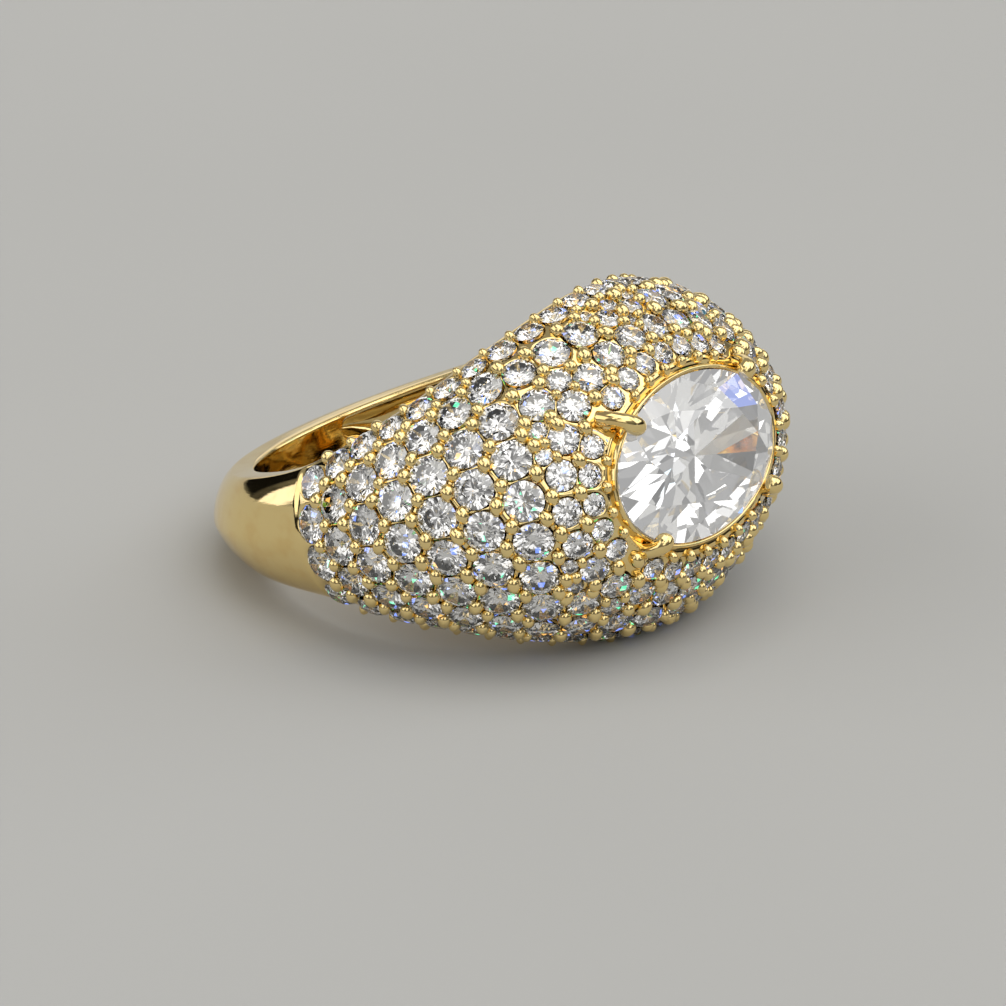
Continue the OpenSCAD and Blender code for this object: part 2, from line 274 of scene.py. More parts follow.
def unrolled(stones):
    """Each stone's angle from the crest, its run from its section's middle, and the rim's run there."""
    centres = np.array([s[0] for s in stones])
    angle = np.degrees(np.arctan2(centres[:, 1], centres[:, 0]))
    t = np.degrees(np.arcsin(np.clip(centres[:, 2] / section_values(angle)[:, 0], -1, 1)))
    run, reach = [], []
    for a, at in zip(angle, t):
        rows, angles = across_run(float(a))
        run.append(math.copysign(float(np.interp(abs(at), angles, rows)), at))
        reach.append(float(rows[-1]))
    return angle, np.array(run), np.array(reach)


def as_seen(stones):
    """The stones as wide as they show, with the metal between them as thin as it shows."""
    centres = np.array([s[0] for s in stones])
    _, run, reach = unrolled(stones)
    grown = np.array([s[3] for s in stones]) * STONE_GROWTH
    d = np.minimum(grown, 2 * (reach - np.abs(run) - RIM_EDGE))
    apart = norm(centres[:, None] - centres[None], axis=-1) + 99 * np.eye(len(d))
    for _ in range(8):
        d = d * np.minimum(1, ((apart - THIN_METAL) / ((d[:, None] + d[None]) / 2)).min(axis=1))
    return [(*s[:3], float(w)) for s, w in zip(stones, d)]


HALO = halo_layout()
SEEN = as_seen(HALO + pave_layout())
HALO, PAVE = SEEN[: len(HALO)], SEEN[len(HALO) :]


def angle_of(p):
    return math.degrees(math.atan2(p[1], p[0]))


def metal_between(stones):
    """The middles of the metal between neighbouring stones and rims: point, along, normal and room."""
    centres = np.array([s[0] for s in stones])
    radii = np.array([s[3] / 2 for s in stones])
    angle, run, reach = unrolled(stones)
    flat = np.stack([np.radians(angle) * UNROLL_R, run], 1)
    # The outer row is mirrored over the rim, so that the metal beside the rim is found too
    near_rim = np.flatnonzero(reach - np.abs(run) < RIM_ROW)
    mirrored = flat[near_rim].copy()
    mirrored[:, 1] = np.sign(run[near_rim]) * (2 * reach[near_rim] - np.abs(run[near_rim]))
    every = [Vector(p) for p in np.concatenate([flat, mirrored])]
    found = []
    for corners in delaunay_2d_cdt(every, [], [], 0, 1e-6)[2]:
        real = [k for k in corners if k < len(stones)]
        if len(real) < 2:
            continue
        c, r = centres[real], radii[real]
        farthest = max(float(norm(c[i] - c[j])) for i in range(len(c)) for j in range(i))
        if farthest > NEIGHBOURS:
            continue
        p = c.mean(axis=0)
        if len(real) == 3:
            # Moved until it is as far from the edge of each stone
            for _ in range(30):
                v = p - c
                length = norm(v, axis=1)
                space = length - r
                p = p + 0.4 * ((space.mean() - space)[:, None] * v / length[:, None]).sum(axis=0)
        else:
            rows, angles = across_run(angle_of(p))
            t = float(np.interp(rows[-1] - RIM_BEAD, rows, angles))
            p = skin(angle_of(p), math.copysign(t, p[2]))
        a = angle_of(p)
        at = math.degrees(math.asin(max(-1, min(1, p[2] / float(section_values(a)[0])))))
        place, along, normal, _ = stone_at(a, max(-89, min(89, at)), 0)
        room = float((norm(place - c, axis=1) - r).min())
        if room > LEAST_ROOM:
            found.append((place, along, normal, min(room, RIM_ROOM) if len(real) < 3 else room))
    return found


FILLERS = []


def fillers():
    """Extra stones too fine for the solid model, where the metal between its stones is widest."""
    if FILLERS:
        return FILLERS
    for _ in range(FILLER_PASSES):
        open_places = sorted(metal_between(HALO + PAVE + FILLERS), key=lambda m: -m[3])
        for place, along, normal, _ in open_places:
            near = [(float(norm(place - s[0])), s[3] / 2) for s in HALO + PAVE + FILLERS]
            clear = min((away - half for away, half in near if away < 2), default=0)
            half = min(clear - FILLER_GAP, FILLER_MOST)
            if half > FILLER_LEAST and oval_share(place, FILLER_CLEAR) > 1:
                FILLERS.append((place, along, normal, 2 * half))
    return FILLERS


# From the ring's own axes to the frame


def lying():
    """How far the ring moves forward and up, to rest on the floor in the middle of its box."""
    a, t = np.meshgrid(np.arange(150, 211, 2.0), np.arange(-90, -69, 2.0))
    p = skin(a, t)
    lift = -(p[..., 0] * math.sin(LEAN) + p[..., 2] * math.cos(LEAN)).min()
    a, t = np.meshgrid(np.arange(0, 181, 5.0), np.arange(-90, 91, 10.0))
    p = skin(a, t)
    forward = p[..., 0] * math.cos(LEAN) - p[..., 2] * math.sin(LEAN)
    return (forward.max() + forward.min()) / 2, lift


FORWARD, LIFT = lying()


def placed(p):
    """Points in the ring's axes, in millimetres, to points in the frame, in metres."""
    x, y, z = np.moveaxis(p, -1, 0)
    along = FORWARD - x * math.cos(LEAN) + z * math.sin(LEAN)
    up = LIFT + x * math.sin(LEAN) + z * math.cos(LEAN)
    return np.stack([y, along, np.maximum(up, 0)], -1) * MM


def new_object(name, data):
    """A new object in the scene."""
    made = bpy.data.objects.new(name, data)
    bpy.context.scene.collection.objects.link(made)
    return made


def make_piece(name, points, faces, material, smooth, slot_name):
    """One mesh object from points in the ring's axes."""
    mesh = bpy.data.meshes.new(name)
    mesh.from_pydata(placed(points).tolist(), [], [list(f) for f in faces])
    mesh.validate()
    mesh.shade_smooth() if smooth else mesh.shade_flat()
    mesh.materials.append(material)
    piece = new_object(name, mesh)
    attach(piece, "root")
    return piece


def grid_faces(rows, columns, close_rows, close_columns):
    """Quads between the points of a grid, as rows of four indices."""
    i = np.arange(rows if close_rows else rows - 1)
    j = np.arange(columns if close_columns else columns - 1)
    i, j = np.meshgrid(i, j, indexing="ij")
    n, m = (i + 1) % rows, (j + 1) % columns
    quads = np.stack([i * columns + j, i * columns + m, n * columns + m, n * columns + j], -1)
    return quads.reshape(-1, 4)


class Mesh:
    """Points and faces gathered from several parts of one piece."""

    def __init__(self):
        self.points, self.faces, self.count = [], [], 0

    def add(self, points, faces):
        points = np.asarray(points, float).reshape(-1, 3)
        self.points.append(points)
        self.faces += [[int(v) + self.count for v in f] for f in faces]
        self.count += len(points)

    def joined(self):
        return np.concatenate(self.points), self.faces


# Shader helpers


def new_group(name, inputs, outputs):
    """A shader node group, with the sockets that bring its inputs and take its outputs."""
    tree = bpy.data.node_groups.new(name, "ShaderNodeTree")
    for way, table in (("INPUT", inputs), ("OUTPUT", outputs)):
        for label, value in table.items():
            kind = {1: "Float", 3: "Vector", 4: "Color"}[np.size(value)]
            socket = tree.interface.new_socket(name=label, in_out=way, socket_type="NodeSocket" + kind)
            socket.default_value = value
    given, out = tree.nodes.new("NodeGroupInput"), tree.nodes.new("NodeGroupOutput")
    return tree, given.outputs, out.inputs


def put(socket, value):
    """Link an output to a socket, or set the socket's value."""
    if isinstance(value, bpy.types.NodeSocket):
        socket.id_data.links.new(value, socket)
    else:
        socket.default_value = value


def fill(made, inputs):
    """Fill a node's inputs by name or number."""
    for key, value in dict(inputs).items():
        put(made.inputs[key], value)


def node(tree, kind, inputs=(), **settings):
    """A new node with its settings and inputs."""
    made = tree.nodes.new(kind)
    for key, value in settings.items():
        setattr(made, key, value)
    fill(made, inputs)
    return made


def maths(tree, operation, *values):
    return node(tree, "ShaderNodeMath", enumerate(values), operation=operation).outputs[0]


def vector_maths(tree, operation, *values):
    made = node(tree, "ShaderNodeVectorMath", enumerate(values), operation=operation)
    return made.outputs["Value" if operation == "DOT_PRODUCT" else "Vector"]


def smooth_step(tree, value, low, high, to_low=0.0, to_high=1.0):
    levels = {"Value": value, "From Min": low, "From Max": high, "To Min": to_low, "To Max": to_high}
    return node(tree, "ShaderNodeMapRange", levels, interpolation_type="SMOOTHSTEP").outputs["Result"]


def mixed(tree, factor, first, second):
    """Two colours mixed. The sockets' names repeat, so they are reached by number."""
    return node(tree, "ShaderNodeMix", {0: factor, 6: first, 7: second}, data_type="RGBA").outputs[2]


def combined(tree, x, y, z):
    return node(tree, "ShaderNodeCombineXYZ", {0: x, 1: y, 2: z}).outputs[0]


def noise(tree, vector, scale, detail, roughness=0.5):
    values = {"Vector": vector, "Scale": scale, "Detail": detail, "Roughness": roughness}
    return node(tree, "ShaderNodeTexNoise", values).outputs[0]


def gold_surface_group():
    """Polished metal: fine lines along the band, a soft waviness, and darker tarnish in patches."""
    found = bpy.data.node_groups.get("polished metal")
    if found:
        return found
    inputs = {"Light Metal": (1, 0.7, 0.3, 1), "Deep Metal": (0.7, 0.35, 0.1, 1)}
    inputs |= {"Patch Amount": 0.3, "Base Roughness": 0.1, "Line Strength": 0.4}
    outputs = {"Colour": (1, 0.7, 0.3, 1), "Roughness": 0.1, "Height": 0.0}
    tree, given, out = new_group("polished metal", inputs, outputs)
    times = lambda *values: maths(tree, "MULTIPLY", *values)
    plus = lambda *values: maths(tree, "ADD", *values)
    place = node(tree, "ShaderNodeTexCoord").outputs["Object"]
    centre = (0.0, FORWARD * MM, LIFT * MM)
    leaned = {"Vector": vector_maths(tree, "SUBTRACT", place, centre), "Angle": LEAN}
    level = node(tree, "ShaderNodeVectorRotate", leaned, rotation_type="X_AXIS").outputs[0]
    x, y, z = node(tree, "ShaderNodeSeparateXYZ", {"Vector": level}).outputs
    # Along the circle, out from the axis and along the finger, in millimetres
    turn = times(maths(tree, "ARCTAN2", x, y), FINGER_R)
    flat = plus(maths(tree, "POWER", x, 2.0), maths(tree, "POWER", y, 2.0))
    out_mm = times(maths(tree, "SQRT", flat), 1 / MM)
    up_mm = times(z, 1 / MM)
    streaked = combined(tree, times(turn, 0.12), out_mm, up_mm)
    plain = combined(tree, turn, out_mm, up_mm)
    lines = noise(tree, streaked, 9.0, 2.0, 0.65)
    # The finger side is left rippled from the casting
    inside = smooth_step(tree, out_mm, FINGER_R + 0.02, FINGER_R + 0.08, 1.0, 0.0)
    size, depth = plus(times(inside, 0.45), 0.35), plus(times(inside, 1.8), 1.0)
    waves = times(noise(tree, plain, size, 0.0), depth)
    patches = smooth_step(tree, noise(tree, plain, 0.9, 2.0, 0.6), 0.42, 0.68)
    amount = times(patches, given["Patch Amount"])
    put(out["Colour"], mixed(tree, amount, given["Light Metal"], given["Deep Metal"]))
    worn = smooth_step(tree, lines, 0.3, 0.7, 0.7, 1.6)
    put(out["Roughness"], times(worn, given["Base Roughness"]))
    put(out["Height"], plus(times(lines, given["Line Strength"]), waves))
    return tree


BLUE_GLINT, GREEN_GLINT, WARM_GLINT = (0.17, 0.3, 1.0, 1), (0.1, 0.9, 0.45, 1), (1.0, 0.5, 0.1, 1)


def facet_group():
    """Cut stone: each facet takes its own slight tint, and a few facets carry a painted coloured glint, given
    out as emission.
    """
    found = bpy.data.node_groups.get("facet play")
    if found:
        return found
    inputs = {"Body Colour": (0.95, 0.95, 1, 1), "Tint Amount": 0.2, "Glint Share": 0.1}
    inputs |= {"Glint Size": 0.0, "Painted Inner Glow": (0, 0, 0, 1)}
    outputs = {"Colour": (1, 1, 1, 1), "Glint": (0, 0, 0, 1)}
    tree, given, out = new_group("facet play", inputs, outputs)
    # A facet's own random values come from the way it faces
    normal = node(tree, "ShaderNodeNewGeometry").outputs["True Normal"]
    snapped = vector_maths(tree, "SNAP", normal, (0.02, 0.02, 0.02))
    first = node(tree, "ShaderNodeTexWhiteNoise", {"Vector": snapped}, noise_dimensions="3D")
    # A painted glint fills its whole facet, or only a speck of it where a size is given
    place = node(tree, "ShaderNodeTexCoord").outputs["Object"]
    speck = vector_maths(tree, "SNAP", place, given["Glint Size"])
    other = vector_maths(tree, "ADD", vector_maths(tree, "ADD", snapped, (3.7, 1.3, 5.1)), speck)
    second = node(tree, "ShaderNodeTexWhiteNoise", {"Vector": other}, noise_dimensions="3D")
    put(out["Colour"], mixed(tree, given["Tint Amount"], given["Body Colour"], first.outputs["Color"]))
    edge = maths(tree, "SUBTRACT", 1.0, given["Glint Share"])
    on = maths(tree, "GREATER_THAN", second.outputs["Value"], edge)
    # Half of the painted glints are blue; the rest are green, and a few of them orange
    is_warm = maths(tree, "GREATER_THAN", first.outputs["Value"], 0.8)
    not_blue = maths(tree, "GREATER_THAN", first.outputs["Value"], 0.5)
    hue = mixed(tree, not_blue, BLUE_GLINT, mixed(tree, is_warm, GREEN_GLINT, WARM_GLINT))
    # Glint is painted light: the painted glint's colour on a glinting facet, else the painted inner glow
    put(out["Glint"], mixed(tree, on, given["Painted Inner Glow"], hue))
    return tree


def new_material(name):
    material = bpy.data.materials.new(name)
    material.use_nodes = True
    tree = material.node_tree
    return material, tree, next(n for n in tree.nodes if n.type == "BSDF_PRINCIPLED")


# Depth of the metal's relief in metres
RELIEF = 0.00006


def gold_material(name, looks, patches, roughness, lines, bump):
    material, tree, shader = new_material(name)
    values = {"Light Metal": (*looks.gold_colour, 1), "Deep Metal": (*looks.deep_gold_colour, 1)}
    values |= {"Patch Amount": patches, "Base Roughness": roughness, "Line Strength": lines}
    surface = node(tree, "ShaderNodeGroup", values, node_tree=gold_surface_group())
    colour, worn = surface.outputs["Colour"], surface.outputs["Roughness"]
    fill(shader, {"Base Color": colour, "Roughness": worn, "Metallic": 1.0})
    if bump > 0:
        relief = {"Strength": bump, "Distance": RELIEF, "Height": surface.outputs["Height"]}
        put(shader.inputs["Normal"], node(tree, "ShaderNodeBump", relief).outputs[0])
    return material


# Of the facets: tint, share with a painted glint, size of a glint in metres, its strength, and painted inner
# glow.
# The oval's painted glints fill their facets
SMALL_SPARKLE = (0.01, 0.03, 0.00025, 1.1, 0.0)
OVAL_SPARKLE = (0.005, 0.05, 0.0, 0.5, 0.12)
STONE_IOR = 2.4


def stone_material(name, colour, sparkle):
    # glow and light set the emission that paints the glints and the inner glow
    tint, share, speck, glow, light = sparkle
    light = (light, light, light, 1)
    material, tree, shader = new_material(name)
    values = {"Body Colour": (*colour, 1), "Tint Amount": tint, "Glint Share": share}
    values |= {"Glint Size": speck, "Painted Inner Glow": light}
    play = node(tree, "ShaderNodeGroup", values, node_tree=facet_group())
    # Only a facet seen from outside shows its painted glint; from within it shows the painted inner glow
    within = node(tree, "ShaderNodeNewGeometry").outputs["Backfacing"]
    glint = mixed(tree, within, play.outputs["Glint"], light)
    fill(shader, {"Base Color": play.outputs["Colour"], "Roughness": 0.0, "IOR": STONE_IOR})
    fill(shader, {"Transmission Weight": 1.0, "Emission Color": glint, "Emission Strength": glow})
    material.cycles.emission_sampling = "NONE"
    return material


# Settings


def length_property(name, description, default, least=0.0):
    return FloatProperty(name=name, description=description + ", in millimetres", default=default, min=least)


def colour_property(name, description, default):
    return FloatVectorProperty(name=name, description=description, subtype="COLOR", size=3, default=default)


class RingSizes(bpy.types.PropertyGroup):
    skin_step: FloatProperty(
        name="Skin step", description="Degrees between the stations of the dome's skin", default=0.5, min=0.3
    )
    across: IntProperty(name="Across", description="Steps of the skin from rim to rim", default=150, min=40)
    pave_drop: length_property("Pave drop", "How far the field lies below the rims", 0.07)
    bead_height: length_property("Bead height", "How far a bead stands above the skin", 0.37, 0.05)
    bead_most: length_property("Widest bead", "Largest radius of a bead", 0.33, 0.1)
    bead_least: length_property("Narrowest bead", "Smallest radius of a bead", 0.23, 0.05)
    bead_overlap: length_property("Bead overlap", "How far a bead reaches over its stones", 0.09)
    stone_turn: IntProperty(
        name="Stone turn", description="Seed for how each small stone is turned in its seat", default=7
    )


class RingLooks(bpy.types.PropertyGroup):
    gold_colour: colour_property("Gold", "Colour of the polished metal", (0.95, 0.74, 0.34))
    deep_gold_colour: colour_property("Deep gold", "Colour of the metal's darker patches", (0.80, 0.50, 0.15))
    stone_colour: colour_property("Small stones", "Body colour of the small stones", (1.0, 0.995, 0.995))
    oval_colour: colour_property("Oval stone", "Body colour of the oval stone", (1.0, 1.0, 1.0))
    floor_colour: colour_property("Floor", "Colour of the floor", (0.51, 0.51, 0.50))
    daylight: FloatProperty(
        name="Daylight", description="Strength of the soft light from all round", default=0.58, min=0
    )
    key_light: FloatProperty(
        name="Key light", description="Power of the soft box overhead", default=0.05, min=0, unit="POWER"
    )


# Pieces


def ease(x):
    """A soft step from 0 to 1."""
    c = np.clip(x, 0, 1)
    return c * c * (3 - 2 * c)


def rounded_end(x):
    """A quarter circle's rise from 0 to 1."""
    return np.sqrt(1 - (1 - np.clip(x, 0, 1)) ** 2)


def stations(step):
    """Angles of the sections all round: close together over the dome and near the hollow's ends."""
    dome = np.arange(-93, 93 + step / 2, step)
    far = np.concatenate([np.arange(95, 157, 2.5), np.arange(158, 166.6, 0.3), np.arange(168, 240, 2.5)])
    near = np.concatenate([np.arange(240, 247, 0.8), np.arange(248, 266, 2.5)])
    return np.concatenate([dome, far, near])


def outer_rows(a, across):
    """Points of the outer skin at equal runs from rim to rim, with the run of each from the nearer rim."""
    fine = np.linspace(-90, 90, 721)
    p = skin(a[:, None], fine[None])
    steps = norm(np.diff(p, axis=1), axis=2)
    run = np.concatenate([np.zeros((len(a), 1)), np.cumsum(steps, axis=1)], axis=1)
    t = np.stack([np.interp(np.linspace(0, r[-1], across + 1), r, fine) for r in run])
    share = np.linspace(0, 1, across + 1)[None]
    from_rim = run[:, -1:] * np.minimum(share, 1 - share)
    return skin(a[:, None], t), from_rim


def seat_depth(points):
    """How deep the skin is cut at each point for the stones' seats."""
    depth = np.zeros(points.shape[:-1])
    flat_points, flat_depth = points.reshape(-1, 3), depth.reshape(-1)
    for place, _, normal, d in HALO + PAVE + fillers():
        near = np.flatnonzero(np.abs(flat_points - place).max(axis=1) < d)
        v = flat_points[near] - place
        h = v @ normal
        reach = norm(v - h[:, None] * normal, axis=1)
        inside = d / 2 + 0.02 - reach
        soft_edge = SINK * np.clip(1 + inside / 0.1, 0, 1) ** 2
        cut = np.where(inside > 0, SINK + 1.3 * inside, soft_edge)
        flat_depth[near] = np.maximum(flat_depth[near], np.minimum(cut, 0.5 * d))
    return depth


def skin_points(a, sizes):
    """The outer skin with its seats cut and its paved field a little below the rims."""
    p, from_rim = outer_rows(a, sizes.across)
    along = np.roll(p, -1, axis=0) - np.roll(p, 1, axis=0)
    over = np.gradient(p, axis=1)
    normal = unit(np.cross(along, over))
    field_end, end_blend, rim_width, rim_blend = 90.2, 0.9, 0.07, 0.1
    from_crest = np.abs((a + 180) % 360 - 180)
    field = ease((from_rim - rim_width) / rim_blend) * ease((field_end - from_crest) / end_blend)[:, None]
    depth = sizes.pave_drop * field + seat_depth(p)
    return p - normal * depth[..., None]


def inner_points(a):
    """The rest of each section: edge, finger side and hollow, from the top rim round to the bottom one."""
    half, thick, edge, power = np.moveaxis(section_values(a), -1, 0)
    turn = (a + 180) % 360 - 180
    far = ease((HOLLOW_FAR - turn) / HOLLOW_BLEND)
    near_end = rounded_end((turn + HOLLOW_NEAR) / (3 * HOLLOW_ROUND))
    ends = rounded_end((HOLLOW_FAR - turn) / HOLLOW_ROUND) * near_end
    full = half - LIP - LIP_MORE * ease((115 - np.abs(turn)) / 60)
    wide = np.maximum((HOLLOW_TIP + (full - HOLLOW_TIP) * far) * ends, 0.06)
    middle = (half - LIP - HOLLOW_TIP) * (1 - far)
    top = FINGER_R + thick - SHELL
    corner = np.minimum(EDGE_ROUND, 0.45 * edge)

    def rim(side):
        """Rows from one rim over its round edge and the finger side to the hollow's lip."""
        found = [(FINGER_R + edge + k * (corner - edge), side * half) for k in (0.3, 0.7)]
        for k in (0, 22.5, 45, 67.5, 90):
            c, s = math.cos(math.radians(k)), math.sin(math.radians(k))
            found.append((FINGER_R + corner * (1 - s), side * (half - corner * (1 - c))))
        lip = middle + side * (wide + LIP_ROUND)
        for k in (0.15, 0.4, 0.7, 0.93, 1):
            found.append((np.full(len(a), FINGER_R), side * (half - corner) * (1 - k) + lip * k))
        for depth, past in ((0.01, 0.08), (0.04, 0.03)):
            found.append((FINGER_R + depth * ends, middle + side * (wide + past)))
        return found

    hollow = []
    for t in (90, 88, *range(80, -81, -10), -88, -90):
        s = math.sin(math.radians(t))
        arch = max(0, 1 - abs(s) ** HOLLOW_POWER) ** (1 / HOLLOW_POWER)
        deep = HOLLOW_SIDE + (top - FINGER_R - HOLLOW_SIDE) * arch
        hollow.append((FINGER_R + deep * ends, middle + wide * s))
    rows = rim(1) + hollow + rim(-1)[::-1]
    c, s = np.cos(np.radians(a)), np.sin(np.radians(a))
    return np.stack([np.stack([r * c, r * s, z], -1) for r, z in rows], axis=1)


def band_mesh(sizes):
    """The whole band: one closed sweep, opened where the oval's wall stands."""
    a = stations(sizes.skin_step)
    loops = np.concatenate([skin_points(a, sizes), inner_points(a)], axis=1)
    rows, columns = loops.shape[:2]
    points = loops.reshape(-1, 3)
    faces = grid_faces(rows, columns, True, True)
    skin_face = (np.arange(len(faces)) % columns) < sizes.across
    middle = points[faces].mean(axis=1)
    wall = GAP + COLLAR_WALL / 2
    keep = np.where(skin_face, oval_share(middle, SKIN_OPENING), oval_share(middle, wall)) > 1
    # The edge of each opening is drawn out to a clean oval
    for of_skin, offset in ((True, SKIN_OPENING), (False, wall)):
        used = np.unique(faces[keep & (skin_face == of_skin)])
        share = oval_share(points[used], offset)
        inside = used[share < 1]
        points[inside, 1:] /= share[share < 1][:, None]
    return points, faces[keep][:, ::-1]


def oval_loop(profile, count=160):
    """A closed ring round the oval from rows of (offset, height function or height)."""
    t = np.radians(np.arange(count) * 360 / count)
    rows = []
    for offset, height in profile:
        y, z = (OVAL_A + offset) * np.cos(t), (OVAL_B + offset) * np.sin(t)
        x = height(y, z) if callable(height) else np.full(count, height)
        rows.append(np.stack([x, y, z], -1))
    return np.stack(rows)


def skin_height(y, z):
    """Height of the skin over (y, z) near the crest."""
    a, t = angle_over(y, z)
    return skin(a, t)[..., 0]


def tube(path, radii, sides=16):
    """A round tube along a path, closed at both ends."""
    direction = unit(np.gradient(path, axis=0))
    side = unit(np.cross(direction, [0.3, 0.2, 1.0]))
    over = np.cross(direction, side)
    t = np.radians(np.arange(sides) * 360 / sides)
    rings = path[:, None] + radii[:, None, None] * (
        np.cos(t)[None, :, None] * side[:, None] + np.sin(t)[None, :, None] * over[:, None]
    )
    faces = [list(f) for f in grid_faces(len(path), sides, False, True)]
    faces += [list(range(sides))[::-1], list(range((len(path) - 1) * sides, len(path) * sides))]
    return rings.reshape(-1, 3), faces


def claw_mesh(place, root):
    """A claw that rises from the skin, root out from the oval, and closes over it in a rounded tip."""
    out = place / norm(place)
    edge = place - HALO_OFFSET * out
    # How far out from the oval's edge, and how high over its girdle
    rise = [(root, -0.6), (0.92 * root, -0.05), (0.68 * root, 0.34), (0.38 * root, 0.52)]
    knots = rise + [(0.03, 0.50), (-0.20, 0.36)]
    path = np.array([[GIRDLE_X + h, *(edge + o * out)] for o, h in knots])
    at = np.linspace(0, len(knots) - 1, 26)
    smooth = np.stack([np.interp(at, np.arange(len(knots)), path[:, k]) for k in range(3)], 1)
    for _ in range(6):
        smooth[1:-1] = (smooth[:-2] + 2 * smooth[1:-1] + smooth[2:]) / 4
    along = np.linspace(0, 1, len(smooth))
    swell = 0.34 + 0.08 * ease((along - 0.3) / 0.4)
    tip = np.clip((along - 0.76) / 0.24, 0, 1) ** 2.4
    radii = swell * np.sqrt(np.clip(1 - tip, 0.0004, 1))
    return tube(smooth, radii)


class DOMERING_OT_metal(bpy.types.Operator):
    """Build the cast band with its seats, hollow, oval wall and claws"""

    bl_idname = "dome_ring.metal"
    bl_label = "Metal"

    def execute(self, context):
        sizes, looks = context.scene.dome_ring_sizes, context.scene.dome_ring_looks
        whole = Mesh()
        whole.add(*band_mesh(sizes))
        under = lambda drop: lambda y, z: np.minimum(skin_height(y, z) - drop, GIRDLE_X - 0.12)
        gallery = oval_loop([(offset, under(drop)) for offset, drop in GALLERY])
        whole.add(gallery, grid_faces(*gallery.shape[:2], False, True))
        top, inner, outer = GIRDLE_X + COLLAR_TOP, GAP, GAP + COLLAR_WALL
        up = [(inner, COLLAR_X), (inner, top - 0.05), (inner + 0.03, top - 0.01)]
        down = [(outer - 0.03, top - 0.01), (outer, top - 0.05), (outer, COLLAR_X)]
        collar = oval_loop([*up, ((inner + outer) / 2, top), *down])
        whole.add(collar, grid_faces(*collar.shape[:2], True, True)[:, ::-1])
        places, _ = ellipse_places(HALO_OFFSET, HALO_COUNT)
        for i, root in zip(CLAW_SLOTS, CLAW_ROOTS):
            whole.add(*claw_mesh(places[i], root))
        material = gold_material("polished gold", looks, patches=0.30, roughness=0.05, lines=0.12, bump=0.25)
        piece = make_piece("ring_metal", *whole.joined(), material, True, "gold")
        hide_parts("ring_body")
        return {"FINISHED"}


def bead_places(sizes):
    """Where each bead stands, with its radius: between stones, beside the rims and inside the first ring."""
    stones = HALO + PAVE + fillers()
    found = []

    def add(place, along, normal, room):
        if not found or min(float(norm(place - f[0])) for f in found) > BEAD_APART:
            radius = max(sizes.bead_least, min(sizes.bead_most, room + sizes.bead_overlap))
            found.append((place, along, normal, radius))

    for place, along, normal, room in metal_between(stones):
        if oval_share(place, BEAD_CLEAR) > 1:
            add(place, along, normal, room)
    places, _ = ellipse_places(INNER_BEADS, 2 * HALO_COUNT)
    claws = places[[2 * i for i in CLAW_SLOTS]]
    for y, z in places[1::2]:
        if min(math.hypot(y - cy, z - cz) for cy, cz in claws) > CLAW_CLEAR:
            place, along, normal, _ = stone_over(y, z, 0)
            add(place - INNER_SINK * normal, along, normal, INNER_ROOM)
    return found


class DOMERING_OT_beads(bpy.types.Operator):
    """Raise the small beads of metal that hold the stones"""

    bl_idname = "dome_ring.beads"
    bl_label = "Beads"

    def execute(self, context):
        sizes, looks = context.scene.dome_ring_sizes, context.scene.dome_ring_looks
        sides, levels = 14, 6
        t = np.radians(np.arange(sides) * 360 / sides)
        lift = np.radians(np.linspace(-25, 78, levels))
        rng = np.random.default_rng(sizes.stone_turn)
        whole = Mesh()
        for place, level, normal, radius in bead_places(sizes):
            turn, stretch = rng.normal(0, 0.25), rng.uniform(1.1, 1.4)
            across = np.cross(normal, level)
            along = math.cos(turn) * level + math.sin(turn) * across
            across = stretch * np.cross(normal, along)
            height = sizes.bead_height * (0.6 + 0.4 * radius / sizes.bead_most)
            rings = [
                place
                + radius * math.cos(q) * (np.cos(t)[:, None] * along + np.sin(t)[:, None] * across)
                + height * math.sin(q) * normal
                for q in lift
            ]
            points = np.concatenate(rings + [[place + height * normal]])
            faces = grid_faces(levels, sides, False, True).tolist()
            last = (levels - 1) * sides
            faces += [[last + k, last + (k + 1) % sides, levels * sides] for k in range(sides)]
            whole.add(points, faces)
        material = gold_material("bead gold", looks, patches=0.10, roughness=0.06, lines=0.10, bump=0)
        make_piece("setting_beads", *whole.joined(), material, True, "gold")
        return {"FINISHED"}


